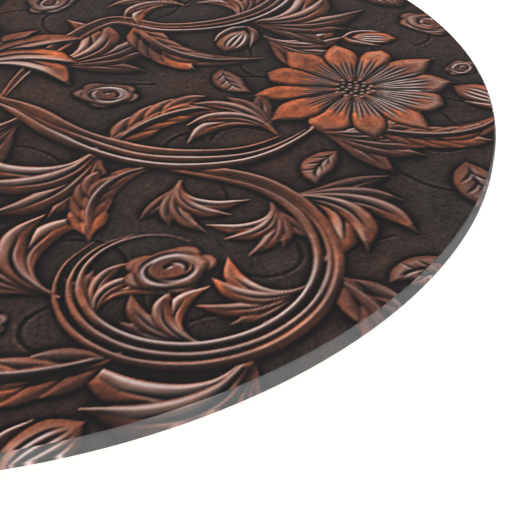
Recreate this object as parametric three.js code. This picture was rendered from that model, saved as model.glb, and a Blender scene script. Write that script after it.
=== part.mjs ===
// A round glass serving and cutting board. A clear toughened-glass plate covers an embossed,
// leather-look picture sheet, which sits in a shallow recess in the plate's underside. A
// protective film closes the recess from below, and the board stands on four small rubber
// feet, each held by a disc of double-sided tape.
//
// Units are millimetres, +Z is up, and the origin is on the worktop under the board's centre.

import * as THREE from "three";

// ---- Driving dimensions -------------------------------------------------------------------

const BOARD_DIAMETER = 304.8;
const BOARD_THICKNESS = 4.7; // glass and film together

const FILM_THICKNESS = 0.3;
const FILM_INSET = 1.3; // how far the film stops short of the glass's edge

const SHEET_THICKNESS = 1.2;
const GLASS_LIP = 1.0; // width of the glass ring round the recess
const SHEET_GAP = 0.3; // clearance between the sheet's edge and the lip

const EDGE_ROUND = 0.5; // radius of the ground edge, top and bottom
const EDGE_STEPS = 4; // facets in each rounded edge

const FOOT_HEIGHT = 3.0;
const FOOT_RADIUS = 6.5; // at the tape
const FOOT_TAPER = 0.26; // lean of the side towards the worktop, in radians
const FOOT_ROUND = 0.8;
const FOOT_COUNT = 4;
const FOOT_CIRCLE = 118; // radius of the circle the feet stand on
const FIRST_FOOT_ANGLE = Math.PI / 4;

const TAPE_THICKNESS = 0.4;
const TAPE_RADIUS = 5.8;

const PLATE_SEGMENTS = 144;
const FOOT_SEGMENTS = 36;

// ---- Heights and radii worked out from them ------------------------------------------------

const BOARD_RADIUS = BOARD_DIAMETER / 2;
const TAPE_BOTTOM = FOOT_HEIGHT;
const FILM_BOTTOM = TAPE_BOTTOM + TAPE_THICKNESS;
const GLASS_BOTTOM = FILM_BOTTOM + FILM_THICKNESS;
const RECESS_TOP = GLASS_BOTTOM + SHEET_THICKNESS;
const GLASS_TOP = FILM_BOTTOM + BOARD_THICKNESS;
const RECESS_RADIUS = BOARD_RADIUS - GLASS_LIP;

// ---- Materials -----------------------------------------------------------------------------

const clearGlass = new THREE.MeshStandardMaterial({
  color: 0xe9f1ee,
  roughness: 0.04,
  metalness: 0,
  transparent: true,
  opacity: 0.35,
});
const leatherLook = new THREE.MeshStandardMaterial({
  color: 0x5a342a,
  roughness: 0.45,
  metalness: 0,
});
const whiteFilm = new THREE.MeshStandardMaterial({
  color: 0xe4e2dd,
  roughness: 0.55,
  metalness: 0,
});
const footRubber = new THREE.MeshStandardMaterial({
  color: 0xc9c9c6,
  roughness: 0.7,
  metalness: 0,
});
const tapeFoam = new THREE.MeshStandardMaterial({
  color: 0xf2f1ec,
  roughness: 0.8,
  metalness: 0,
});

// ---- Shapes --------------------------------------------------------------------------------

// A solid of revolution about Z. The outline is a list of [radius, height] pairs that goes
// from the axis, round the bottom and the outside, and back to the axis at the top.
function turned(outline, segments) {
  const points = outline.map(([radius, height]) => new THREE.Vector2(radius, height));
  return new THREE.LatheGeometry(points, segments).rotateX(Math.PI / 2);
}

// Points of a quarter round about [radius, height], from one angle to another in radians.
function roundedCorner(radius, height, corner, fromAngle, toAngle) {
  const points = [];
  for (let i = 0; i <= EDGE_STEPS; i += 1) {
    const angle = fromAngle + ((toAngle - fromAngle) * i) / EDGE_STEPS;
    points.push([radius + corner * Math.cos(angle), height + corner * Math.sin(angle)]);
  }
  return points;
}

function disc(radius, bottom, top, segments) {
  return turned([[0, bottom], [radius, bottom], [radius, top], [0, top]], segments);
}

function glassPlate() {
  const roundCentre = BOARD_RADIUS - EDGE_ROUND;
  return turned(
    [
      [0, RECESS_TOP],
      [RECESS_RADIUS, RECESS_TOP],
      [RECESS_RADIUS, GLASS_BOTTOM],
      ...roundedCorner(roundCentre, GLASS_BOTTOM + EDGE_ROUND, EDGE_ROUND, -Math.PI / 2, 0),
      ...roundedCorner(roundCentre, GLASS_TOP - EDGE_ROUND, EDGE_ROUND, 0, Math.PI / 2),
      [0, GLASS_TOP],
    ],
    PLATE_SEGMENTS,
  );
}

// The tip's rounding runs smoothly into the tapered side, so the foot is convex.
function rubberFoot() {
  const sideAtTip = FOOT_RADIUS - (FOOT_HEIGHT - FOOT_ROUND) * Math.tan(FOOT_TAPER);
  const roundCentre = sideAtTip - FOOT_ROUND / Math.cos(FOOT_TAPER);
  return turned(
    [
      [0, 0],
      ...roundedCorner(roundCentre, FOOT_ROUND, FOOT_ROUND, -Math.PI / 2, -FOOT_TAPER),
      [FOOT_RADIUS, FOOT_HEIGHT],
      [0, FOOT_HEIGHT],
    ],
    FOOT_SEGMENTS,
  );
}

// ---- Assembly ------------------------------------------------------------------------------

const board = new THREE.Group();

function place(name, geometry, material, x = 0, y = 0) {
  const mesh = new THREE.Mesh(geometry, material);
  mesh.name = name;
  mesh.position.set(x, y, 0);
  board.add(mesh);
}

place("glass_plate", glassPlate(), clearGlass);
place(
  "picture_sheet",
  disc(RECESS_RADIUS - SHEET_GAP, GLASS_BOTTOM, RECESS_TOP, PLATE_SEGMENTS),
  leatherLook,
);
place(
  "backing_film",
  disc(BOARD_RADIUS - FILM_INSET, FILM_BOTTOM, GLASS_BOTTOM, PLATE_SEGMENTS),
  whiteFilm,
);

const FOOT_PLACES = ["back_right", "back_left", "front_left", "front_right"];
for (let i = 0; i < FOOT_COUNT; i += 1) {
  const angle = FIRST_FOOT_ANGLE + (i * 2 * Math.PI) / FOOT_COUNT;
  const x = FOOT_CIRCLE * Math.cos(angle);
  const y = FOOT_CIRCLE * Math.sin(angle);
  place(
    `foot_tape_${FOOT_PLACES[i]}`,
    disc(TAPE_RADIUS, TAPE_BOTTOM, FILM_BOTTOM, FOOT_SEGMENTS),
    tapeFoam,
    x,
    y,
  );
  place(`rubber_foot_${FOOT_PLACES[i]}`, rubberFoot(), footRubber, x, y);
}

export default board;
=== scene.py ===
import math

import bpy
import numpy as np
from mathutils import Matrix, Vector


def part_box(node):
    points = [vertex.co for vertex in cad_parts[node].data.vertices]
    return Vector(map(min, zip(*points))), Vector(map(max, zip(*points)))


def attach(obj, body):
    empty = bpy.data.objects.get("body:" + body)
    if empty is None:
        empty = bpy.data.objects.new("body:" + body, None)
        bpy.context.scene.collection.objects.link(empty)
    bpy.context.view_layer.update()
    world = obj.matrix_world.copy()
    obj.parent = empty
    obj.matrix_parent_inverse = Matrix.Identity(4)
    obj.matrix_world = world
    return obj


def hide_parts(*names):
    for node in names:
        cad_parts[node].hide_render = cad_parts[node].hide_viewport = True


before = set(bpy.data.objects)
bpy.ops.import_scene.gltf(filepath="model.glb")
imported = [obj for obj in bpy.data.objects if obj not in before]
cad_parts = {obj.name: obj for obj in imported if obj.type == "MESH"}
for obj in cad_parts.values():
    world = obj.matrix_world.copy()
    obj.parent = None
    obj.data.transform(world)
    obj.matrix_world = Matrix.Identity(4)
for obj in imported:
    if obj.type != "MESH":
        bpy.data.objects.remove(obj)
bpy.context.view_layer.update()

# A round glass cutting board. The picture behind the glass is a generic carved-leather scroll: its
#  motifs are carved by formula into maps of height, stain and painted highlights, and the maps shape and
#  colour a fine mesh, with light and shade painted into its colours. The carving is in millimetres, and the
#  pieces are in metres.

MM = 0.001

glass_low, glass_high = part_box("glass_plate")
BOARD_RADIUS = glass_high[0]
GLASS_BOTTOM = glass_low[2]
GLASS_TOP = glass_high[2]
SHEET_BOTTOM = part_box("picture_sheet")[0][2]


# ---- Curves and maps ----------------------------------------------------------------------

CELL = 0.25  # mm between the cells of a map
HALF_WIDTH = 153.0  # mm from the middle of a map to its side
LIGHT = (-0.36, 0.93)  # the direction that the light comes from, seen from above


def eased(share):
    """A share from 0 to 1 that starts and ends gently."""
    return share * share * (3 - 2 * share)


def path(points, count=48):
    """A smooth curve through the points, in about count steps and at least 6 from each to the next."""
    p = np.array(points, float)
    ends = np.vstack([2 * p[0] - p[1], p, 2 * p[-1] - p[-2]])
    steps = max(6, count // (len(p) - 1))
    t = np.linspace(0, 1, steps, endpoint=False)[:, None]
    curve = []
    for i in range(len(p) - 1):
        a, b, c, d = ends[i:i + 4]
        curve.append(0.5 * (2 * b + (c - a) * t + (2 * a - 5 * b + 4 * c - d) * t**2
                            + (3 * b - a - 3 * c + d) * t**3))
    curve.append(p[-1:])
    return np.vstack(curve)


def to_the_left(curve):
    """Unit vectors that point to the left of the curve."""
    run = np.gradient(curve, axis=0)
    return np.stack([-run[:, 1], run[:, 0]], 1) / np.hypot(run[:, 0], run[:, 1])[:, None]


def along(values, t):
    """The values, spread evenly and eased, at t from 0 to 1. A single value stays as it is."""
    if np.ndim(values) == 0:
        return values
    v = np.array(values, float)
    knots = np.linspace(0, 1, len(v))
    slope = np.gradient(v)
    i = np.clip(np.searchsorted(knots, t, side="right") - 1, 0, len(v) - 2)
    f = np.clip((t - knots[i]) / (knots[i + 1] - knots[i]), 0, 1)
    f2 = f * f
    f3 = f2 * f
    found = ((2 * f3 - 3 * f2 + 1) * v[i] + (f3 - 2 * f2 + f) * slope[i]
             + (3 * f2 - 2 * f3) * v[i + 1] + (f3 - f2) * slope[i + 1])
    return np.maximum(found, 0)


def grain_map(axis, size, seed):
    """Smooth random mottling, mostly between -1 and 1, with grains of the given size in mm."""
    count = int((axis[-1] - axis[0]) / size) + 3
    coarse = np.random.default_rng(seed).standard_normal((count, count)).astype(np.float32)
    u = (axis - axis[0]) / size
    i = np.clip(u.astype(int), 0, count - 2)
    f = eased(u - i)
    rows = coarse[i] * (1 - f[:, None]) + coarse[i + 1] * f[:, None]
    return rows[:, i] * (1 - f[None, :]) + rows[:, i + 1] * f[None, :]


def blur(field, sigma):
    """Gaussian blur, sigma in mm."""
    s = sigma / CELL
    reach = int(3 * s) + 1
    kernel = np.exp(-np.arange(-reach, reach + 1) ** 2 / (2 * s * s))
    kernel = (kernel / kernel.sum()).astype(np.float32)
    out = np.pad(field, reach, mode="edge")
    for axis, across in ((0, (-1, 1)), (1, (1, -1))):
        count = out.shape[axis]
        padded = np.zeros(count, np.float32)
        padded[:len(kernel)] = kernel
        spectrum = np.fft.rfft(np.roll(padded, -reach)).reshape(across)
        out = np.fft.irfft(np.fft.rfft(out, axis=axis) * spectrum, count, axis=axis)
    return out[reach:-reach, reach:-reach].astype(np.float32)


def sample(field, x, y):
    """Bilinear reading of a map at places in mm."""
    u = (x + HALF_WIDTH) / CELL
    v = (y + HALF_WIDTH) / CELL
    i = np.clip(np.floor(u).astype(int), 0, field.shape[1] - 2)
    j = np.clip(np.floor(v).astype(int), 0, field.shape[0] - 2)
    fu = u - i
    fv = v - j
    if field.ndim == 3:
        fu = fu[..., None]
        fv = fv[..., None]
    low = field[j, i] * (1 - fu) + field[j, i + 1] * fu
    high = field[j + 1, i] * (1 - fu) + field[j + 1, i + 1] * fu
    return low * (1 - fv) + high * fv


# ---- The carver's tools -------------------------------------------------------------------

# A stroke's section as (place across, share of the height), from its lit edge to the other one.
SECTION = ((-1, 0.35), (-0.84, 0.95), (-0.66, 1.0), (-0.15, 0.7), (0.5, 0.42), (1, 0.1))
SECTION_BLUR = (-0.12, -0.06, 0, 0.06, 0.12)  # places over which the section is averaged

STROKE_LIFT = 0.8  # mm between the ground and the foot of a stroke's section
FULL_HEIGHT_WIDTH = 1.6  # mm of half-width from which a stroke has its full height
VEIN_SPACING = 1.3  # mm of half-width for each vein along a stroke
MOST_VEINS = 3
VEIN_DEPTH = 0.45  # mm
SINK = 0.5  # mm by which the ground sinks next to a shape
SINK_WIDTH = 0.9  # mm; the spread of that sink, which fades away like a bell curve
GROOVE_WIDTH = 0.35  # mm; the spread of a groove to each side
GROOVE_DEPTH = 1.1  # mm
GROOVE_RIM = 0.4  # mm by which the groove's rim stands up
FAN_HEART = 6.0  # mm from the centre of a fan to where its flutes start


def left_lit(curve, station):
    """How far the left side of a curve is the lit one, from 0 to 1, at each station along it."""
    to_light = to_the_left(curve) @ LIGHT
    steps = np.hypot(*np.diff(curve, axis=0).T)
    stations = np.concatenate([[0], np.cumsum(steps)]) / steps.sum()
    return np.clip(0.5 + 0.9 * np.interp(station, stations, to_light), 0, 1)


def section_height(across, left):
    """Share of a stroke's height at places across it, with its crest on the lit side."""
    places, levels = np.array(SECTION, float).T
    share = 0
    for aside in SECTION_BLUR:
        share = share + left * np.interp(across + aside, places, levels)
        share = share + (1 - left) * np.interp(-across + aside, places, levels)
    return share / len(SECTION_BLUR)


def vein_share(veins, across, station):
    """Share of VEIN_DEPTH at places on a stroke. Its veins fade at its sides and ends."""
    ridge = np.abs(np.sin(0.5 * np.pi * veins * (across + 1)))
    fade = np.clip(4 * (1 - np.abs(across)), 0, 1)
    fade = fade * np.clip(5 * station, 0, 1) * np.clip(3 - 3 * station, 0, 1)
    return (1 - ridge) ** 2.2 * fade


def is_within(outline, X, Y):
    """Which places lie inside a closed outline."""
    within = np.zeros(X.shape, bool)
    for (x0, y0), (x1, y1) in zip(outline[:-1], outline[1:]):
        if y0 != y1:
            within ^= ((y0 > Y) != (y1 > Y)) & (X < (x1 - x0) * (Y - y0) / (y1 - y0) + x0)
    return within


class Carving:
    """Maps of the leather: its height in mm, its stain (with the painted shade of slits and flute grooves as
    negative values), its painted highlights and where it is carved.
    """

    def __init__(self):
        count = int(round(2 * HALF_WIDTH / CELL)) + 1
        self.axis = np.linspace(-HALF_WIDTH, HALF_WIDTH, count)
        self.height = np.zeros((count, count), np.float32)
        # Stain, and as negative values the painted shade of slits and flute grooves.
        self.stain_and_shade = np.zeros((count, count), np.float32)
        # Painted highlights.
        self.pale = np.zeros((count, count), np.float32)
        self.cover = np.zeros((count, count), np.float32)
        self.halo = 1.0  # how much of SINK the next shapes use
        self.place()

    def place(self, x=0.0, y=0.0, turn=0.0, size=1.0, flip=False):
        """Carve what follows about (x, y), turned by degrees and resized; flip mirrors it first."""
        self.origin = (x, y)
        self.turn = turn
        self.scale = size
        self.flip = flip

    def world(self, points):
        """Points of a motif, on the board."""
        p = np.array(points, float)
        if self.flip:
            p = p * (1, -1)
        cosine = self.scale * math.cos(math.radians(self.turn))
        sine = self.scale * math.sin(math.radians(self.turn))
        x = self.origin[0] + cosine * p[:, 0] - sine * p[:, 1]
        y = self.origin[1] + sine * p[:, 0] + cosine * p[:, 1]
        return np.stack([x, y], 1)

    def window(self, curve, reach):
        """Rows and columns of the cells near the curve. One is empty where it is off the map."""
        low = ((curve.min(0) - reach + HALF_WIDTH) / CELL).astype(int)
        high = ((curve.max(0) + reach + HALF_WIDTH) / CELL).astype(int) + 2
        i0, j0 = np.maximum(low, 0)
        i1, j1 = np.clip(high, 0, len(self.axis))
        return slice(j0, j1), slice(i0, i1)

    def cells(self, rows, cols, centre=(0, 0)):
        """X and Y of the cells, measured from a centre."""
        return np.meshgrid(self.axis[cols] - centre[0], self.axis[rows] - centre[1])

    def nearest(self, curve, rows, cols):
        """Each cell's station along the curve (0 to 1) and its mm off the curve, left positive."""
        X, Y = self.cells(rows, cols)
        runs = np.diff(curve, axis=0)
        lengths = np.maximum(np.hypot(runs[:, 0], runs[:, 1]), 1e-9)
        starts = np.concatenate([[0], np.cumsum(lengths)])
        best = np.full(X.shape, 1e9, np.float32)
        station = np.zeros(X.shape, np.float32)
        side = np.ones(X.shape, np.float32)
        for (x0, y0), (run_x, run_y), length, start in zip(curve, runs, lengths, starts):
            dx = X - x0
            dy = Y - y0
            left = np.sign(run_x * dy - run_y * dx)
            f = np.clip((dx * run_x + dy * run_y) / length**2, 0, 1)
            distance = (dx - f * run_x) ** 2 + (dy - f * run_y) ** 2
            closer = distance < best
            best = np.where(closer, distance, best)
            station = np.where(closer, (start + f * length) / starts[-1], station)
            side = np.where(closer, left, side)
        return station, np.sqrt(best) * side

    def lay(self, rows, cols, z, edge, tone, gleam, sink):
        """Put a shape's height, stain and painted highlight over what is there; edge is the mm outside its
        outline.
        """
        inside = np.clip(0.5 - edge / CELL, 0, 1)
        near = np.exp(-np.clip(edge, 0, None) ** 2 / (2 * SINK_WIDTH**2))
        ground = self.height[rows, cols] - self.halo * sink * near * (1 - inside)
        self.height[rows, cols] = ground * (1 - inside) + z * inside
        self.stain_and_shade[rows, cols] = self.stain_and_shade[rows, cols] * (1 - inside) + tone * inside
        self.pale[rows, cols] = self.pale[rows, cols] * (1 - inside) + gleam * inside
        self.cover[rows, cols] = np.maximum(self.cover[rows, cols], inside)

    def stroke(self, points, widths, pale, height=3.4, stain_and_shade=0.5):
        """A raised shape along a curve, with a painted highlight along its crest. widths are half-widths
        in mm from its start to its end, and the stain and the painted highlight may be such lists too. Its
        crest keeps to the lit side."""
        curve = self.world(path(points))
        half = np.array(widths, float) * self.scale
        rows, cols = self.window(curve, half.max() + 2.5)
        station, off = self.nearest(curve, rows, cols)
        wide = along(half, station) + 1e-3
        across = -off / wide
        share = section_height(across, left_lit(curve, station))
        z = STROKE_LIFT + height * share * np.clip(wide / FULL_HEIGHT_WIDTH, 0.25, 1.0)
        veins = int(min(MOST_VEINS, max(widths) / VEIN_SPACING))
        if veins > 1:
            z = z - VEIN_DEPTH * vein_share(veins, across, station) * np.clip(wide / 1.5, 0, 1)
        crest = np.clip((share - 0.56) / 0.36, 0, 1) ** 1.3
        sink = SINK * self.scale * np.clip(wide, 0.3, 1)
        # The painted highlight along the crest.
        gleam = along(pale, station) * crest
        self.lay(rows, cols, self.scale * z, np.abs(off) - wide, along(stain_and_shade, station), gleam, sink)

    def mass(self, outline, height, bevel, stain_and_shade, pale, hollow=0.25, lift=0.6, root=(0, 0), tip=(1, 0)):
        """A raised shape inside a smooth outline, with a rounded edge, a painted highlight on that edge and
        a dished middle. A point given twice is a corner. The stain and the painted highlight may be lists
        that run from root to tip."""
        points = list(outline)
        curve = self.world(path(points + points[:1], 7 * len(points)))
        rows, cols = self.window(curve, 2.5)
        X, Y = self.cells(rows, cols)
        distance = np.abs(self.nearest(curve, rows, cols)[1])
        depth = np.where(is_within(curve, X, Y), distance, -distance)
        bevels = depth / (bevel * self.scale)
        rise = np.sin(0.5 * np.pi * np.clip(bevels, 0, 1))
        middle = eased(np.clip(bevels / 1.5 - 0.6, 0, 1))
        z = lift + height * (0.2 + 0.8 * rise) * (1 - hollow * middle)
        start, end = self.world([root, tip])
        line = end - start
        place = ((X - start[0]) * line[0] + (Y - start[1]) * line[1]) / (line @ line)
        place = np.clip(place, 0, 1)
        # The painted highlight on the rounded edge, fainter in the dished middle.
        gleam = along(pale, place) * rise**2 * (1 - 0.8 * middle)
        self.lay(rows, cols, self.scale * z, -depth, along(stain_and_shade, place), gleam, SINK * self.scale)

    def cut(self, points, wide, lip, depth=1.6):
        """A slit, narrow at its ends, darkened with painted shade. Its lip on the side away from the light
        is raised a little and lit with a painted highlight.
        """
        curve = self.world(path(points))
        rows, cols = self.window(curve, 3.0)
        station, off = self.nearest(curve, rows, cols)
        run_x, run_y = curve[-1] - curve[0]
        far_side = -1 if run_x * LIGHT[1] - run_y * LIGHT[0] > 0 else 1
        off = off * far_side / self.scale
        taper = np.sin(np.pi * np.clip(station, 0.02, 0.98)) ** 0.6
        slit = np.exp(-(off / (wide * taper + 0.05)) ** 2)
        edge = np.exp(-((off - 1.9 * wide) / (0.9 * wide)) ** 2) * taper
        edge = edge * np.clip(4 * station, 0, 1) * np.clip(4 - 4 * station, 0, 1)
        self.height[rows, cols] += self.scale * (0.35 * edge - depth * slit * taper)
        # Painted shade in the slit, and a painted highlight on the lip.
        self.stain_and_shade[rows, cols] = self.stain_and_shade[rows, cols] * (1 - slit) - 0.7 * slit * taper
        self.pale[rows, cols] = self.pale[rows, cols] * (1 - slit) + lip * edge

    def groove(self, points):
        """A thin line cut into whatever is there, with a small raised rim on its left."""
        curve = self.world(path(points))
        rows, cols = self.window(curve, 2.5)
        station, off = self.nearest(curve, rows, cols)
        fade = np.clip(np.minimum(station, 1 - station) * 8, 0, 1)
        slit = np.exp(-(off / GROOVE_WIDTH) ** 2 / 2) * GROOVE_DEPTH
        raised = np.exp(-((off / GROOVE_WIDTH - 2.4) / 1.2) ** 2 / 2) * GROOVE_RIM
        self.height[rows, cols] += (raised - slit) * fade

    def fan(self, flutes, ends):
        """Flutes that run out from the motif's origin over the shapes round it, with painted shade in their
        grooves and a painted highlight on their ridges. ends lists, for some directions in degrees, how far
        the flutes run and how strong that highlight is."""
        centre = self.world([(0, 0)])
        rows, cols = self.window(centre, 40 * self.scale)
        X, Y = self.cells(rows, cols, centre[0])
        r = np.hypot(X, Y) / self.scale
        a = np.degrees(np.arctan2(Y, X)) - self.turn
        turns, reaches, ridge_highlights = np.array(ends, float).T
        reach = np.interp(a, turns, reaches, period=360)
        white = np.interp(a, turns, ridge_highlights, period=360)
        phase = flutes * a / 360
        ridge = np.abs(np.cos(np.pi * phase)) ** 1.6
        reach = reach * (0.92 + 0.10 * np.sin(2.7 * np.floor(phase + 0.5)))
        run = eased(np.clip((reach - r) / 7, 0, 1)) * np.clip((r - FAN_HEART) / 3, 0, 1)
        run = run * self.cover[rows, cols]
        self.height[rows, cols] -= self.scale * (1 - ridge) * run
        # Painted shade in the grooves between the flutes, and a painted highlight on their ridges.
        self.stain_and_shade[rows, cols] = self.stain_and_shade[rows, cols] * (1 - 0.75 * run) - 0.45 * run * (1 - ridge)
        self.pale[rows, cols] = self.pale[rows, cols] * (1 - run) + run * ridge**2.5 * white

    def spot(self, x, y, radius, height, stain_and_shade, pale):
        """A small dome on top of what is there, with its own stain and a painted highlight."""
        centre = self.world([(x, y)])
        r = radius * self.scale
        rows, cols = self.window(centre, r + 1)
        q = np.hypot(*self.cells(rows, cols, centre[0])) / r
        inside = np.clip((1 - q) * r / CELL, 0, 1)
        self.height[rows, cols] += height * np.sqrt(np.clip(1 - q * q, 0, 1)) * inside
        self.stain_and_shade[rows, cols] = self.stain_and_shade[rows, cols] * (1 - inside) + stain_and_shade * inside
        self.pale[rows, cols] = self.pale[rows, cols] * (1 - inside) + pale * inside


# ---- Motifs: each grows along its own +X from its root at the origin ----------------------

GOLDEN_ANGLE = 137.5  # degrees; turns of this size don't line up


def swing(length, angle, bend):
    """Points that leave the root along +X and turn away by angle, and by bend more at the end."""
    t = np.linspace(0, 1, 6)
    turn = np.radians(angle * t + bend * t * t)
    return length * np.stack([t * np.cos(turn), t * np.sin(turn)], 1)


def leaf_outline(spine, wide):
    """The outline of a pointed leaf about its spine."""
    picks = np.linspace(0, len(spine) - 1, 7).astype(int)
    swell = wide * np.sin(np.pi * np.linspace(0, 1, 7)) ** 0.8
    aside = to_the_left(spine)[picks] * swell[:, None]
    return [*(spine[picks] + aside), *(spine[picks] - aside)[::-1]]


def sprig(art, x, y, turn, size=1.0, flip=False):
    """A leaf cut into curved blades that fan out from one root. The stain and the painted highlight run
    from the inner blade to the outer one, and the blades near the middle lie on top."""
    blades = 5
    spread = 64
    bend = 26
    art.place(x, y, turn, size, flip)
    art.halo = 0.6
    for k in sorted(range(blades), key=lambda k: -abs(k - 0.55 * blades)):
        f = k / (blades - 1)
        length = 30 * (0.66 + 0.34 * np.sin(np.pi * (0.15 + 0.7 * f))) * (1 + 0.06 * (-1) ** k)
        blade = swing(length, spread * (f - 0.5), bend * (0.5 + f))
        art.stroke(blade, (0.5, 1.6, 3.0, 2.8, 0.2), stain_and_shade=0.2 + 0.45 * f,
                   pale=np.array([0.6, 0.8, 1.0, 0.7]) * (0.15 + 0.65 * f))
        art.cut(blade[1:5], wide=0.34, depth=1.0, lip=0.35)
    art.halo = 1.0


def broad_leaf(art, x, y, turn, size, flip=False):
    """A long leaf with a spine and pointed lobes down both sides."""
    lobes = 4
    art.place(x, y, turn, size, flip)
    art.halo = 0.5
    spine = path(swing(40, 0, 34), 60)
    art.mass(leaf_outline(spine, 4.6), stain_and_shade=0.4, pale=0.1, height=1.6, bevel=3.0, hollow=0.1)
    for k in range(lobes):
        f = (k + 0.6) / (lobes + 0.6)
        station = int(f * 38)
        root = spine[station]
        ahead = spine[station + 6] - root
        run = np.degrees(np.arctan2(ahead[1], ahead[0]))
        for side in (-1, 1):
            start = np.radians(run + side * 8)
            lobe = swing(17 - 5 * abs(f - 0.45), run + side * 34, -side * 16)
            lobe = lobe + root - 2 * np.array([np.cos(start), np.sin(start)])
            art.stroke(lobe, (0.4, 2.2, 3.3, 2.6, 0.2), height=3.0, stain_and_shade=0.4 + 0.2 * f, pale=(0.1, 0.15, 0.5))
    art.stroke(spine[::6], (0.3, 1.3, 1.4, 1.1, 0.3), height=3.8, stain_and_shade=0.35, pale=(0.45, 0.5, 0.3))
    art.halo = 1.0


def small_leaf(art, x, y, turn, size):
    """A single low leaf with a rib and a few side veins."""
    art.place(x, y, turn, size)
    spine = path(swing(20, 0, 20), 40)
    art.mass(leaf_outline(spine, 5.0), stain_and_shade=0.4, pale=(0.06, 0.3), root=(4, -6), tip=(12, 6), height=2.2,
             bevel=2.2, hollow=0.1)
    art.cut(spine[2:-6:4], wide=0.4, depth=1.2, lip=0.4)
    for root in spine[8:25:8]:
        for side in (-1, 1):
            vein = [root, root + (2.2, side * 1.3), root + (3.8, side * 3.2)]
            art.cut(vein, wide=0.32, depth=0.8, lip=0.3)


def petal(art, length, wide, stain_and_shade, pale):
    """A pointed petal from the flower's middle."""
    side = [(4, 0.25 * wide), (11, 0.6 * wide), (18, wide), (24.5, 0.88 * wide)]
    tip = (length, 0)
    outline = [*side, tip, tip, *((u, -v) for u, v in side[::-1])]
    art.mass(outline, stain_and_shade=stain_and_shade, pale=pale, root=(0, 0), tip=tip, height=2.4, bevel=2.6, hollow=0.08, lift=0.9)


def ring_of_points(count, radius, lobes=0, wave=0.0, flat=1.0):
    """Points round a circle, or round a wavy or a flattened one."""
    a = 2 * np.pi * np.arange(count) / count
    r = radius * (1 + wave * np.cos(lobes * a))
    return np.stack([r * np.cos(a), flat * r * np.sin(a)], 1)


def flower(art, x, y, turn, size):
    """An open flower: two rings of petals, flutes that run up them, and a heart of dots."""
    petals = 12
    dots = 28
    art.place(x, y, turn, size)
    art.mass(ring_of_points(16, 19), stain_and_shade=0.15, pale=0.1, height=1.2, bevel=3)
    art.halo = 0.35
    for k in [*range(0, petals, 2), *range(1, petals, 2)]:
        art.place(x, y, turn + 360 * k / petals, size)
        length = 30 + 2.6 * np.sin(2.1 * k)
        wide = 5.6 + 0.9 * np.sin(1.7 * k + 1)
        bright = 0.3 + 0.3 * np.cos(2 * np.pi * k / petals)
        petal(art, length, wide, stain_and_shade=(0.2, 0.5, 0.85, 0.9, 0.6), pale=(0.1, 0.1, 0.3 * bright, bright))
    art.place(x, y, turn, size)
    art.fan(60, ((0, 27, 0.9), (60, 22, 0.4), (120, 20, 0.5),
                 (180, 18, 0.3), (240, 20, 0.35), (300, 23, 0.8)))
    art.halo = 1.0
    for k in range(dots):
        r = 6 * np.sqrt((k + 0.5) / dots)
        a = np.radians(GOLDEN_ANGLE) * k
        art.spot(r * np.cos(a), r * np.sin(a), radius=0.72, height=1.6, stain_and_shade=0.1, pale=0.5)


def rosette(art, x, y, turn, size, stain_and_shade=0.25):
    """A low bloom of petals that wind into each other."""
    art.place(x, y, turn, size)
    for k in range(5):
        u = 6.2 * np.cos(2.4 * k)
        v = 6.2 * np.sin(2.4 * k)
        side = (ring_of_points(10, 4.6) + (u, v)) * (1, 0.8)
        art.mass(side, stain_and_shade=stain_and_shade, pale=0.35, height=1.9, bevel=1.8)
    art.mass(ring_of_points(20, 8.6, lobes=5, wave=0.05, flat=0.85), stain_and_shade=stain_and_shade, pale=(0.28, 0.21, 0.7),
             root=(-7, -7), tip=(5, 8), height=2.6, bevel=2.2)
    for k in range(5):
        a = np.radians(np.linspace(30, 200 - 14 * k, 6) + 95 * k)
        r = 7.2 - 1.35 * k + 0.6 * np.cos(a)
        art.cut(np.stack([r * np.cos(a), 0.8 * r * np.sin(a)], 1), wide=0.6 - 0.05 * k, lip=0.6)


def bud(art, x, y, turn, size):
    """A striped bud that sits in two small leaves."""
    art.place(x, y, turn, size)
    body = [(0, 0), (4, 4.6), (10, 6), (16, 5), (20.6, 0), (20.6, 0), (16, -5), (10, -6), (4, -4.6)]
    art.mass(body, stain_and_shade=0.6, pale=(0.7, 0.3, 0.1), root=(0, 0), tip=(20, 0), height=3.0, bevel=3.2, hollow=0)
    for k in range(-1, 2):
        art.cut([(3, 0.8 * k), (8, 2.2 * k), (13, 2.4 * k), (17, 1.4 * k)], wide=0.42, depth=1.3, lip=0.75)
    for side in (-1, 1):
        leaf = [(-3, 0), (1, side * 4.4), (7, side * 6.6), (13, side * 7)]
        art.stroke(leaf, (0.8, 1.8, 1.5, 0.2), pale=0.7)


def bundle(art, points, wide, gap):
    """Three long strands that run side by side and part a little on their way."""
    strands = 3
    art.place()
    curve = path(points, 90)
    left = to_the_left(curve)
    t = np.linspace(0, 1, len(curve))
    for k in range(strands):
        aside = gap * (k - 0.5 * (strands - 1)) * (0.3 + 1.4 * np.sin(np.pi * t ** (0.7 + 0.4 * k)))
        strand = curve + left * aside[:, None]
        end = len(strand) - 9 * k
        art.stroke(strand[:end:6], wide * np.array([0.1, 1.25, 0.85, 1.15, 0.75, 0.1]), height=4 - 0.3 * k,
                   stain_and_shade=0.4 + 0.08 * k, pale=(0.8 - 0.2 * k) * np.array([0.6, 0.8, 1.0, 0.9, 0.6]))


# ---- The layout ---------------------------------------------------------------------------

FLOWER = (112, 4)
FRONT_SCROLL = (62, -88)
BACK_SCROLL = (58, 92)


def spiral(centre, start, stop, outer, inner):
    """Points that wind in about the centre, from start to stop in degrees."""
    f = np.linspace(0, 1, 14)
    a = np.radians(start + (stop - start) * f)
    r = outer + (inner - outer) * f
    return np.stack([centre[0] + r * np.cos(a), centre[1] + r * np.sin(a)], 1)


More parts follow.
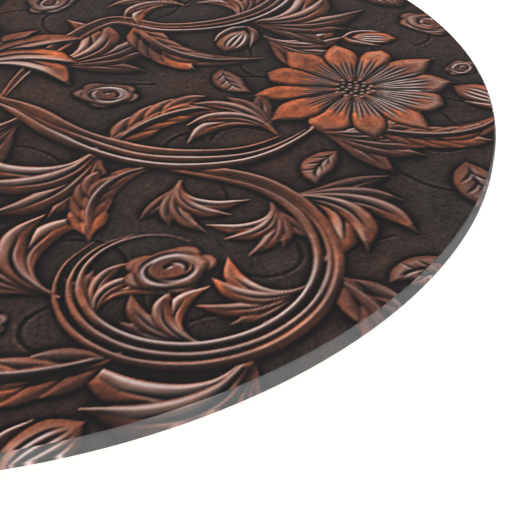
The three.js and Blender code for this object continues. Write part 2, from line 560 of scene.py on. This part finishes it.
def round_scroll(art, centre, start, stop, outer, inner, leaves, lean):
    """Leaves along a scroll that winds in. Each points away from its centre, turned by lean degrees
    towards where the scroll goes on."""
    growth = 1 if stop > start else -1
    for k, (kind, size) in enumerate(leaves):
        f = (k + 0.5) / len(leaves)
        a = start + (stop - start) * f
        r = outer + (inner - outer) * f
        x = centre[0] + r * np.cos(np.radians(a))
        y = centre[1] + r * np.sin(np.radians(a))
        kind(art, x, y, a + growth * lean, size, growth < 0)


def tooled_ground(art):
    """Thin tooled lines on the bare leather."""
    lines = 90
    for k in range(lines):
        r = 150 * np.sqrt((k + 0.5) / lines)
        a = 2.4 * k
        art.place(r * np.cos(a), r * np.sin(a), 47 * k)
        art.groove(swing(24 + 7 * np.sin(k), 0, 70 * np.sin(1.3 * k + 1)))


def branch_leaves(art):
    """Leaves that leave the stems at the middle of the board."""
    sprig(art, 14, -12, -118, 1.5, True)
    sprig(art, 12, 20, 12, 1.35)
    broad_leaf(art, 40, -32, 58, 1.25, True)
    sprig(art, 38, -30, -100, 1.4, True)
    sprig(art, 88, -24, 120)
    sprig(art, 84, 42, -50)
    sprig(art, 98, -20, -30, 1.3)
    broad_leaf(art, 114, -20, -20, 1.1)


def front_leaves(art):
    outer = [(sprig, 1.2), (broad_leaf, 1.4), (sprig, 1.5),
             (broad_leaf, 1.4), (sprig, 1.3), (broad_leaf, 1.0)]
    inner = [(sprig, 0.75), (sprig, 0.85), (sprig, 0.8), (sprig, 0.7)]
    round_scroll(art, FRONT_SCROLL, 76, -235, 43, 22, outer, 50)
    round_scroll(art, FRONT_SCROLL, 80, -160, 40, 22, inner, 128)


def back_leaves(art):
    outer = [(broad_leaf, 1.3), (sprig, 1.4), (broad_leaf, 1.4),
             (sprig, 1.4), (broad_leaf, 1.3), (sprig, 1.2)]
    inner = [(sprig, 0.8), (sprig, 0.9), (sprig, 0.8), (sprig, 0.7)]
    round_scroll(art, BACK_SCROLL, -140, 160, 46, 26, outer, 50)
    round_scroll(art, BACK_SCROLL, -100, 160, 43, 24, inner, 128)


def stems(art):
    front = spiral(FRONT_SCROLL, 62, -290, 44, 13)
    back = spiral(BACK_SCROLL, -126, 200, 46, 17)
    main = [(0, 0), (14, -10), (32, -26), (54, -37), (78, -36), (94, -24), (104, -8)]
    bundle(art, [(34, -28), (58, -40), *front], 1.6, 2.0)
    bundle(art, [(4, -4), (8, 14), (16, 34), *back], 1.6, 2.0)
    bundle(art, main, 1.9, 2.3)


def other_half(art):
    """Carve the same again, turned by half a turn. The first carving stays only where it covers the
    leather more than the turned one does."""
    turned = art.cover[::-1, ::-1]
    for name in ("height", "stain_and_shade", "pale"):
        own = getattr(art, name)
        setattr(art, name, np.where(art.cover > turned, own, own[::-1, ::-1]))
    art.cover = np.maximum(art.cover, turned)


BLOCK = 8  # cells along each side of the blocks that are looked at for bare ground
SMALLEST_GAP = 7.0  # mm from the middle of the smallest gap that is filled to the shapes round it
WIDEST_FILLER = 15.0  # mm that a filler may reach from its middle
FILLERS = ((sprig, 30), (rosette, 0), (small_leaf, 20), (sprig, 30), (bud, 20), (small_leaf, 20))


def bare_room(art):
    """How far each block of BLOCK by BLOCK cells is from the nearest carved one, in mm."""
    count = len(art.axis) // BLOCK
    blocks = art.cover[:count * BLOCK, :count * BLOCK].reshape(count, BLOCK, count, BLOCK)
    room = np.where(blocks.max(axis=(1, 3)) > 0.05, 0.0, 99.0)
    step = BLOCK * CELL
    for _ in range(20):
        for rows, cols in ((0, 1), (0, -1), (1, 0), (-1, 0), (1, 1), (-1, -1), (1, -1), (-1, 1)):
            room = np.minimum(room, np.roll(room, (rows, cols), (0, 1)) + step * np.hypot(rows, cols))
    return room


def fill_gaps(art):
    """Small blooms and leaves in the bare places, the widest place first. FILLERS holds each
    motif's length in mm, or 0 for one that grows about its middle."""
    room = bare_room(art)
    centres = np.linspace(-HALF_WIDTH, HALF_WIDTH, len(room))
    X, Y = np.meshgrid(centres, centres)
    room[np.hypot(X, Y) > HALF_WIDTH - 2] = 0
    k = 0
    while room.max() > SMALLEST_GAP:
        j, i = np.unravel_index(room.argmax(), room.shape)
        x = X[j, i]
        y = Y[j, i]
        reach = min(room[j, i], WIDEST_FILLER)
        turn = GOLDEN_ANGLE * k
        kind, length = FILLERS[k % len(FILLERS)]
        size = 1.8 * reach / (length or 26)
        back = 0.5 * size * length
        kind(art, x - back * np.cos(np.radians(turn)), y - back * np.sin(np.radians(turn)), turn, size)
        room = np.minimum(room, np.hypot(X - x, Y - y) - reach)
        k += 1


def carve_picture(art):
    tooled_ground(art)
    branch_leaves(art)
    front_leaves(art)
    back_leaves(art)
    stems(art)
    rosette(art, *FRONT_SCROLL, turn=20, size=1.1, stain_and_shade=0.4)
    bud(art, BACK_SCROLL[0] - 6, BACK_SCROLL[1], turn=20, size=1.1)
    flower(art, *FLOWER, turn=8, size=1.04)
    other_half(art)
    fill_gaps(art)


# ---- Light and colour on the carving ------------------------------------------------------

def srgb(*levels):
    return np.array(levels, float) / 255


# The colour of full painted shade; the leather's colours darken towards it.
FULL_SHADE = srgb(34, 31, 31)
GROUND = srgb(59, 52, 50)
WARM_GROUND = srgb(74, 56, 50)
DULL = srgb(80, 55, 49)
CHESTNUT = srgb(160, 88, 60)
HIGHLIGHT = srgb(208, 188, 184)
DARKEST = 0.11  # level, from 0 to 1, under which no colour falls
CONTRAST = 1.9  # power of the light that falls on a slope
SHINE = 1.15
SHARPENING = 0.55
SHARPENING_WIDTH = 0.6  # mm
SHADOW_STEP = 0.32  # mm between the places looked at towards the light
SHADOW_SLOPE = 0.75  # mm by which a shadow's edge falls for each mm from what casts it

# The direction that the light comes from. The last part is upwards.
SUN = np.array([-0.28, 0.72, 0.72])
SUN /= np.linalg.norm(SUN)


def facing_sun(relief):
    """How squarely the carving faces the light: the cosine of the angle between them, as if the
    carving stood half as high."""
    gy, gx = np.gradient(blur(relief, 0.25) * 0.5, CELL)
    return (SUN[2] - gx * SUN[0] - gy * SUN[1]) / np.sqrt(1 + gx**2 + gy**2)


def cast_shadow(relief):
    """How far each cell lies in the shadow of what stands between it and the light."""
    shadow = np.zeros_like(relief)
    for k in range(1, 15):
        away = SHADOW_STEP * k
        shift = (-int(round(SUN[1] * away / CELL)), -int(round(SUN[0] * away / CELL)))
        shadow = np.maximum(shadow, np.roll(relief, shift, (0, 1)) - relief - SHADOW_SLOPE * away)
    return blur(np.clip(shadow / 1.3, 0, 1), 0.6)


def stained_leather(art, cover):
    """The leather's colour before light falls on it."""
    stain_and_shade = np.clip(art.stain_and_shade + 0.2 * grain_map(art.axis, 14.0, 11), 0, 1)[..., None]
    carved = DULL + (CHESTNUT - DULL) * stain_and_shade**1.6
    warmth = np.clip(0.4 + 0.35 * grain_map(art.axis, 24.0, 9), 0, 1)[..., None]
    bare = GROUND * (1 - warmth) + WARM_GROUND * warmth
    return bare * (1 - cover) + carved * cover


def light_and_shade(art, relief, facing, shadow, cover):
    """How bright the leather is, from its slope, its hollows, cast shadows, slits and grain."""
    hollow = np.clip((relief - blur(relief, 2.2)) / 2.6 + (relief - blur(relief, 5.0)) / 5.5, -1, 1)
    detail = np.clip((relief - blur(relief, 1.0)) / 0.9, -1, 1)
    shade = np.clip(facing / SUN[2], 0.1, 1.35) ** CONTRAST
    shade = shade * np.clip(1 + 0.85 * np.minimum(hollow, 0) + 0.15 * hollow + 0.45 * detail, 0.1, 1.5)
    # Slits and flute grooves get their painted shade here, from the negative stain values.
    shade = np.clip(shade, 0.02, 1.35) * (1 - 0.8 * shadow) * (1 + 0.75 * np.clip(art.stain_and_shade, -1, 0))
    pores = (0.25 - 0.16 * cover) * grain_map(art.axis, 0.6, 3)
    return shade * (1 + pores + 0.09 * grain_map(art.axis, 2.2, 5))


def painted(art):
    """The picture's colours, with light and shade painted in, and the smoothed relief."""
    relief = blur(art.height, 0.16)
    facing = facing_sun(relief)
    shadow = cast_shadow(relief)
    cover = blur(art.cover, 0.15)
    leather = stained_leather(art, cover[..., None])
    shade = light_and_shade(art, relief, facing, shadow, cover)
    colour = FULL_SHADE + (leather - FULL_SHADE) * shade[..., None]
    gleam = 0.42 + 0.68 * eased(np.clip((facing - 0.42) / 0.45, 0, 1))
    shine = np.clip(SHINE * art.pale * gleam * (1 - 0.7 * shadow), 0, 0.95)[..., None]
    colour = colour + (HIGHLIGHT - colour) * shine
    channels = np.moveaxis(colour.astype(np.float32), -1, 0)
    soft = np.stack([blur(channel, SHARPENING_WIDTH) for channel in channels], -1)
    sharpened = colour + SHARPENING * (colour - soft)
    return np.clip(sharpened, DARKEST, 1), relief


# ---- Materials ----------------------------------------------------------------------------

def new_material(name):
    mat = bpy.data.materials.new(name)
    mat.use_nodes = True
    tree = mat.node_tree
    tree.nodes.clear()
    out = tree.nodes.new("ShaderNodeOutputMaterial")
    return mat, tree, out


def node(tree, kind, **inputs):
    made = tree.nodes.new(kind)
    for name, value in inputs.items():
        made.inputs[name.replace("_", " ")].default_value = value
    return made


def noise(tree, scale, detail=4, roughness=0.55):
    coords = tree.nodes.new("ShaderNodeTexCoord")
    made = node(tree, "ShaderNodeTexNoise", Scale=scale, Detail=detail, Roughness=roughness)
    tree.links.new(coords.outputs["Object"], made.inputs["Vector"])
    return made


def span(tree, source, low, high, **inputs):
    """A source's values, spread from low to high."""
    made = node(tree, "ShaderNodeMapRange", To_Min=low, To_Max=high, **inputs)
    tree.links.new(source, made.inputs["Value"])
    return made.outputs["Result"]


def tinted(tree, source, low, high, start=0.0, end=1.0):
    """A colour that runs from low to high as the source runs from start to end."""
    ramp = tree.nodes.new("ShaderNodeValToRGB")
    for stop, position, colour in zip(ramp.color_ramp.elements, (start, end), (low, high)):
        stop.position = position
        stop.color = (*colour, 1)
    tree.links.new(source, ramp.inputs["Fac"])
    return ramp.outputs["Color"]


def bump(tree, source, strength, distance):
    made = node(tree, "ShaderNodeBump", Strength=strength, Distance=distance)
    tree.links.new(source, made.inputs["Height"])
    return made.outputs["Normal"]


def mix_shaders(tree, share, first, second):
    """Two shaders, mixed by a share from 0 (the first) to 1 (the second)."""
    mix = tree.nodes.new("ShaderNodeMixShader")
    tree.links.new(share, mix.inputs["Fac"])
    tree.links.new(first, mix.inputs[1])
    tree.links.new(second, mix.inputs[2])
    return mix.outputs["Shader"]


def picture_material():
    """The leather picture: the mesh's colours, which hold its stain and its painted light and shade, under
    fine grain.
    """
    mat, tree, out = new_material("carved_leather_picture")
    link = tree.links.new
    paint = tree.nodes.new("ShaderNodeAttribute")
    paint.attribute_name = "Paint"
    grain = noise(tree, 1400, 6, 0.65)
    mottle = noise(tree, 160, 4, 0.6)
    both = node(tree, "ShaderNodeMath")
    both.operation = "ADD"
    link(grain.outputs["Fac"], both.inputs[0])
    link(mottle.outputs["Fac"], both.inputs[1])
    mix = tree.nodes.new("ShaderNodeMix")
    mix.data_type = "RGBA"
    mix.blend_type = "MULTIPLY"
    mix.inputs["Factor"].default_value = 1.0
    link(paint.outputs["Color"], mix.inputs["A"])
    link(span(tree, both.outputs[0], 0.78, 1.22, From_Min=0.6, From_Max=1.4), mix.inputs["B"])
    bsdf = node(tree, "ShaderNodeBsdfPrincipled", Roughness=0.6, Specular_IOR_Level=0.0)
    link(mix.outputs["Result"], bsdf.inputs["Base Color"])
    link(bump(tree, grain.outputs["Fac"], 0.25, 0.2 * MM), bsdf.inputs["Normal"])
    link(bsdf.outputs["BSDF"], out.inputs["Surface"])
    return mat


def let_lamps_through(tree, body):
    """Glass that neither throws a shadow nor darkens what lies under it."""
    rays = tree.nodes.new("ShaderNodeLightPath")
    either = tree.nodes.new("ShaderNodeMath")
    either.operation = "MAXIMUM"
    tree.links.new(rays.outputs["Is Shadow Ray"], either.inputs[0])
    tree.links.new(rays.outputs["Is Diffuse Ray"], either.inputs[1])
    through = tree.nodes.new("ShaderNodeBsdfTransparent")
    return mix_shaders(tree, either.outputs[0], body, through.outputs["BSDF"])


def clear_glass_material():
    """Clear, faintly green glass."""
    mat, tree, out = new_material("clear_glass")
    clear = node(tree, "ShaderNodeBsdfPrincipled", Roughness=0.0, IOR=1.5, Transmission_Weight=1.0)
    tint = tinted(tree, noise(tree, 30, 2).outputs["Fac"], (0.975, 0.99, 0.985), (0.985, 0.995, 0.99))
    tree.links.new(tint, clear.inputs["Base Color"])
    tree.links.new(let_lamps_through(tree, clear.outputs["BSDF"]), out.inputs["Surface"])
    return mat


EDGE_MILK = 0.15  # share of the ground edge that is white


def ground_edge_material():
    """The ground rim. Seen from outside, it passes the view straight through a thin milky film;
    seen from inside, it reflects like clear glass."""
    mat, tree, out = new_material("ground_edge")
    white = node(tree, "ShaderNodeBsdfPrincipled", Roughness=0.6, Specular_IOR_Level=0.2)
    white.inputs["Base Color"].default_value = (0.80, 0.83, 0.83, 1)
    through = tree.nodes.new("ShaderNodeBsdfTransparent")
    grit = noise(tree, 900, 3)
    share = span(tree, grit.outputs["Fac"], EDGE_MILK - 0.03, EDGE_MILK + 0.03)
    outside = mix_shaders(tree, share, through.outputs["BSDF"], white.outputs["BSDF"])
    inside = node(tree, "ShaderNodeBsdfPrincipled", Roughness=0.0, IOR=1.5, Transmission_Weight=1.0)
    side = tree.nodes.new("ShaderNodeNewGeometry")
    skin = mix_shaders(tree, side.outputs["Backfacing"], outside, inside.outputs["BSDF"])
    tree.links.new(let_lamps_through(tree, skin), out.inputs["Surface"])
    return mat


def plain_material(name, low, high, roughness, scale, bump_mm=0.02, glow=0.0):
    """A plastic or rubber: a little colour variation and a fine surface."""
    mat, tree, out = new_material(name)
    link = tree.links.new
    tint = noise(tree, scale)
    fine = noise(tree, scale * 6)
    bsdf = node(tree, "ShaderNodeBsdfPrincipled", Emission_Strength=glow)
    bsdf.inputs["Emission Color"].default_value = (1, 1, 1, 1)
    link(tinted(tree, tint.outputs["Fac"], low, high, 0.3, 0.7), bsdf.inputs["Base Color"])
    link(span(tree, fine.outputs["Fac"], roughness - 0.08, roughness + 0.08), bsdf.inputs["Roughness"])
    link(bump(tree, fine.outputs["Fac"], 0.5, bump_mm * MM), bsdf.inputs["Normal"])
    link(bsdf.outputs["BSDF"], out.inputs["Surface"])
    return mat


# ---- Turned pieces ------------------------------------------------------------------------

def add_piece(name, mesh, stands_for):
    piece = bpy.data.objects.new(name, mesh)
    bpy.context.scene.collection.objects.link(piece)
    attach(piece, "root")
    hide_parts(stands_for)
    return piece


def turned_mesh(name, profile, segments, x=0.0, y=0.0):
    """A closed solid turned about a vertical axis at (x, y). The profile's ends are on the axis."""
    rings = profile[1:-1]
    points = [(x, y, profile[0][1])]
    for radius, z in rings:
        for k in range(segments):
            a = 2 * math.pi * k / segments
            points.append((x + radius * math.cos(a), y + radius * math.sin(a), z))
    points.append((x, y, profile[-1][1]))
    last = len(points) - 1
    top = last - segments
    faces = []
    for k in range(segments):
        n = (k + 1) % segments
        faces.append((0, 1 + n, 1 + k))
        for a in range(1, top, segments):
            faces.append((a + k, a + n, a + segments + n, a + segments + k))
        faces.append((top + k, top + n, last))
    mesh = bpy.data.meshes.new(name)
    mesh.from_pydata(points, [], faces)
    mesh.validate()
    for face in mesh.polygons:
        face.use_smooth = True
    return mesh


def round_corner(radius, z, r, start, end, steps):
    """Points of an arc about (radius, z), from one angle to another in degrees."""
    made = []
    for k in range(steps + 1):
        a = math.radians(start + (end - start) * k / steps)
        made.append((radius + r * math.cos(a), z + r * math.sin(a)))
    return made


EDGE_ROUND = 0.5 * MM
CREASE = 0.03 * MM  # a ring this close to the rounded edge keeps the flat faces flat


def make_glass():
    inner = BOARD_RADIUS - EDGE_ROUND
    profile = [
        (0, GLASS_BOTTOM), (inner * 0.5, GLASS_BOTTOM), (inner - CREASE, GLASS_BOTTOM),
        *round_corner(inner, GLASS_BOTTOM + EDGE_ROUND, EDGE_ROUND, -90, 0, 10),
        *round_corner(inner, GLASS_TOP - EDGE_ROUND, EDGE_ROUND, 0, 90, 10),
        (inner - CREASE, GLASS_TOP), (inner * 0.5, GLASS_TOP), (0, GLASS_TOP),
    ]
    mesh = turned_mesh("glass_plate_polished", profile, 720)
    mesh.materials.append(clear_glass_material())
    mesh.materials.append(ground_edge_material())
    for face in mesh.polygons:
        if math.hypot(face.center[0], face.center[1]) > inner:
            face.material_index = 1
    add_piece("glass_plate_polished", mesh, "glass_plate")


FOOT_TAPER = 0.26  # lean of the side, in radians
FOOT_ROUND = 0.8 * MM
FOOT_DIMPLE = 0.35 * MM  # depth of the hollow in the tip
DIMPLE_ROUND = 0.25 * MM
FLANGE_HEIGHT = 0.3 * MM
FLANGE_STEP = 0.25 * MM  # how far the flange stands out
FLANGE_SLOPE = 0.2 * MM  # height over which it does so


def make_feet():
    rubber = plain_material("foot_rubber", (0.42, 0.42, 0.41), (0.52, 0.52, 0.50), 0.45, 900)
    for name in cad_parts:
        if not name.startswith("rubber_foot_"):
            continue
        low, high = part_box(name)
        wide = (high[0] - low[0]) / 2
        tall = high[2] - low[2]
        tip = wide - tall * math.tan(FOOT_TAPER)
        profile = [
            (0, FOOT_DIMPLE), (tip * 0.45, FOOT_DIMPLE),
            *round_corner(tip * 0.5, DIMPLE_ROUND, DIMPLE_ROUND, 180, 270, 4),
            *round_corner(tip - FOOT_ROUND, FOOT_ROUND, FOOT_ROUND, -90, -15, 8),
            (wide - FLANGE_STEP, tall - FLANGE_HEIGHT - FLANGE_SLOPE), (wide, tall - FLANGE_HEIGHT),
            (wide, tall), (0, tall),
        ]
        foot_name = name.removeprefix("rubber_")
        mesh = turned_mesh(foot_name, profile, 96, (low[0] + high[0]) / 2, (low[1] + high[1]) / 2)
        mesh.materials.append(rubber)
        add_piece(foot_name, mesh, name)


# ---- The picture --------------------------------------------------------------------------

PICTURE_RADIUS = BOARD_RADIUS - 0.15 * MM
GRID = 640  # points along each side of the picture's grid

RELIEF_GROUND = SHEET_BOTTOM + 0.40 * MM  # height of the bare leather
RELIEF_RISE = 0.78 * MM  # the highest that the carving stands over it
RELIEF_SINK = 0.22 * MM  # the deepest that it is cut into it
RISE_EASE = 2.6  # mm of carving that come to most of the rise
SINK_EASE = 0.9  # mm of carving that come to most of the sink


def graded(fine_share, count):
    """Places from -1 to 1, closer together over the upper share of the range."""
    s = np.linspace(0, 1, 2001)
    weight = 0.5 + 0.5 / (1 + np.exp(-(s - (1 - fine_share)) * 24))
    total = np.concatenate([[0], np.cumsum((weight[1:] + weight[:-1]) / 2)])
    return np.interp(np.linspace(0, total[-1], count), total, s) * 2 - 1


def disc_grid():
    """A square grid bent into a unit disc, finer at the right and at the front."""
    a, b = np.meshgrid(graded(0.56, GRID), -graded(0.74, GRID)[::-1])
    r = np.where(np.abs(a) > np.abs(b), a, b)
    with np.errstate(divide="ignore", invalid="ignore"):
        angle = np.where(np.abs(a) > np.abs(b), math.pi / 4 * b / a, math.pi / 2 - math.pi / 4 * a / b)
    angle = np.nan_to_num(angle)
    return r * np.cos(angle), r * np.sin(angle)


def relief_height(carved):
    """Height in metres for heights of the carving in mm, eased so that none stands too high."""
    raised = 1 - np.exp(-np.clip(carved, 0, None) / RISE_EASE)
    sunk = np.tanh(np.clip(carved, None, 0) / SINK_EASE)
    return RELIEF_GROUND + RELIEF_RISE * raised + RELIEF_SINK * sunk


def to_linear(levels):
    return np.where(levels <= 0.04045, levels / 12.92, ((levels + 0.055) / 1.055) ** 2.4)


def ring_round(index):
    """The indices round the edge of a grid."""
    return np.concatenate([index[0, :-1], index[:-1, -1], index[-1, :0:-1], index[:0:-1, 0]])


def mesh_of(name, vertices, quads, triangles):
    mesh = bpy.data.meshes.new(name)
    corners = np.concatenate([quads.ravel(), triangles.ravel()])
    starts = [np.arange(len(quads)) * 4, quads.size + np.arange(len(triangles)) * 3]
    mesh.vertices.add(len(vertices))
    mesh.vertices.foreach_set("co", vertices.astype(np.float32).ravel())
    mesh.loops.add(len(corners))
    mesh.loops.foreach_set("vertex_index", corners)
    mesh.polygons.add(len(quads) + len(triangles))
    mesh.polygons.foreach_set("loop_start", np.concatenate(starts))
    return mesh


def solid_under(name, top):
    """A closed mesh under a grid of points: the grid, a wall down from its edge and a flat floor.
    Only the grid is shaded smooth."""
    index = np.arange(top.shape[0] * top.shape[1]).reshape(top.shape[:2])
    rim = ring_round(index)
    below = index.size + np.arange(len(rim))
    centre = np.full(len(rim), index.size + len(rim))
    low = top.reshape(-1, 3)[rim]
    low[:, 2] = SHEET_BOTTOM
    vertices = np.vstack([top.reshape(-1, 3), low, [[0, 0, SHEET_BOTTOM]]])
    cells = np.stack([index[:-1, :-1], index[:-1, 1:], index[1:, 1:], index[1:, :-1]], -1).reshape(-1, 4)
    wall = np.stack([rim, below, np.roll(below, -1), np.roll(rim, -1)], -1)
    floor = np.stack([below, centre, np.roll(below, -1)], -1)
    mesh = mesh_of(name, vertices, np.vstack([cells, wall]), floor)
    mesh.polygons.foreach_set("use_smooth", np.arange(len(mesh.polygons)) < len(cells))
    mesh.update(calc_edges=True)
    return mesh


def paint_mesh(mesh, colours):
    """Give the points of solid_under their colours. The wall takes those of the grid's edge."""
    flat = colours.reshape(-1, 3)
    rim = ring_round(np.arange(len(flat)).reshape(colours.shape[:2]))
    dark = np.full((1, 3), 0.03)
    paint = np.ones((len(mesh.vertices), 4), np.float32)
    paint[:, :3] = np.vstack([flat, flat[rim], dark])
    layer = mesh.color_attributes.new("Paint", "FLOAT_COLOR", "POINT")
    layer.data.foreach_set("color", paint.ravel())


def make_picture():
    art = Carving()
    carve_picture(art)
    colours, relief = painted(art)
    x, y = (PICTURE_RADIUS * part for part in disc_grid())
    z = relief_height(sample(relief, x / MM, y / MM))
    mesh = solid_under("relief_picture", np.stack([x, y, z], -1))
    paint_mesh(mesh, to_linear(sample(colours, x / MM, y / MM)))
    mesh.materials.append(picture_material())
    add_piece("relief_picture", mesh, "picture_sheet")


# ---- CAD nodes that stay as they are ------------------------------------------------------

def finish_nodes():
    film = plain_material("white_film", (0.70, 0.69, 0.66), (0.78, 0.77, 0.74), 0.5, 700, 0.03)
    tape = plain_material("foot_tape", (0.74, 0.73, 0.68), (0.82, 0.81, 0.77), 0.75, 1500, 0.05)
    for name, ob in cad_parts.items():
        if name == "backing_film":
            ob.data.materials.clear()
            ob.data.materials.append(film)
        elif name.startswith("foot_tape_"):
            ob.data.materials.clear()
            ob.data.materials.append(tape)


# ---- Camera and studio --------------------------------------------------------------------

CAMERA_PITCH = math.radians(36.84)
CAMERA_AIM = (0.5544 * BOARD_RADIUS, -0.5798 * BOARD_RADIUS, GLASS_TOP)
CAMERA_DISTANCE = 1.6265 * BOARD_RADIUS
CAMERA_LENS = 71.2  # mm, on a sensor 36 mm wide

FLOOR_SIZE = 60
FLOOR_GLOW = 0.4
SOFTBOX_PLACE = (-0.35, 0.55, 0.9)
SOFTBOX_SIZE = 0.6
SOFTBOX_POWER = 7.5  # watts
SKY = 0.85
SKY_IN_REFLECTIONS = 0.10


def make_camera():
    data = bpy.data.cameras.new("camera")
    data.lens = CAMERA_LENS
    data.sensor_width = 36
    data.clip_start = 0.01
    cam = bpy.data.objects.new("camera", data)
    bpy.context.scene.collection.objects.link(cam)
    back = CAMERA_DISTANCE * math.cos(CAMERA_PITCH)
    up = CAMERA_DISTANCE * math.sin(CAMERA_PITCH)
    cam.location = (CAMERA_AIM[0], CAMERA_AIM[1] - back, CAMERA_AIM[2] + up)
    cam.rotation_euler = (math.pi / 2 - CAMERA_PITCH, 0, 0)
    bpy.context.scene.camera = cam


def make_floor():
    bpy.ops.mesh.primitive_plane_add(size=FLOOR_SIZE, location=(0, 0, -0.1 * MM))
    floor = bpy.context.object
    floor.name = "floor"
    pale = plain_material("floor", (0.95, 0.95, 0.95), (0.97, 0.97, 0.97), 0.9, 20, glow=FLOOR_GLOW)
    floor.data.materials.append(pale)


def make_sky():
    """An even white sky, dimmed where it would be mirrored in the glass."""
    world = bpy.data.worlds.new("studio")
    bpy.context.scene.world = world
    world.use_nodes = True
    tree = world.node_tree
    tree.nodes.clear()
    out = tree.nodes.new("ShaderNodeOutputWorld")
    white = (1, 1, 1, 1)
    soft = node(tree, "ShaderNodeBackground", Strength=SKY, Color=white).outputs["Background"]
    dim = node(tree, "ShaderNodeBackground", Strength=SKY_IN_REFLECTIONS, Color=white).outputs["Background"]
    rays = tree.nodes.new("ShaderNodeLightPath")
    sky = mix_shaders(tree, rays.outputs["Is Glossy Ray"], soft, dim)
    tree.links.new(sky, out.inputs["Surface"])


def make_softbox():
    """A soft square lamp at the back left that isn't mirrored in the glass. It is aimed past the
    board, so that only the gentle edge of its light falls there."""
    lamp = bpy.data.lights.new("softbox", "AREA")
    lamp.size = SOFTBOX_SIZE
    lamp.energy = SOFTBOX_POWER
    box = bpy.data.objects.new("softbox", lamp)
    bpy.context.scene.collection.objects.link(box)
    x, y, z = SOFTBOX_PLACE
    box.location = SOFTBOX_PLACE
    box.rotation_euler = (math.atan2(math.hypot(x, y), z), 0, math.atan2(y, x) - math.pi / 2)
    box.visible_glossy = False


make_camera()
make_picture()
make_glass()
make_feet()
finish_nodes()
make_floor()
make_sky()
make_softbox()
bpy.context.scene.view_settings.view_transform = "Standard"
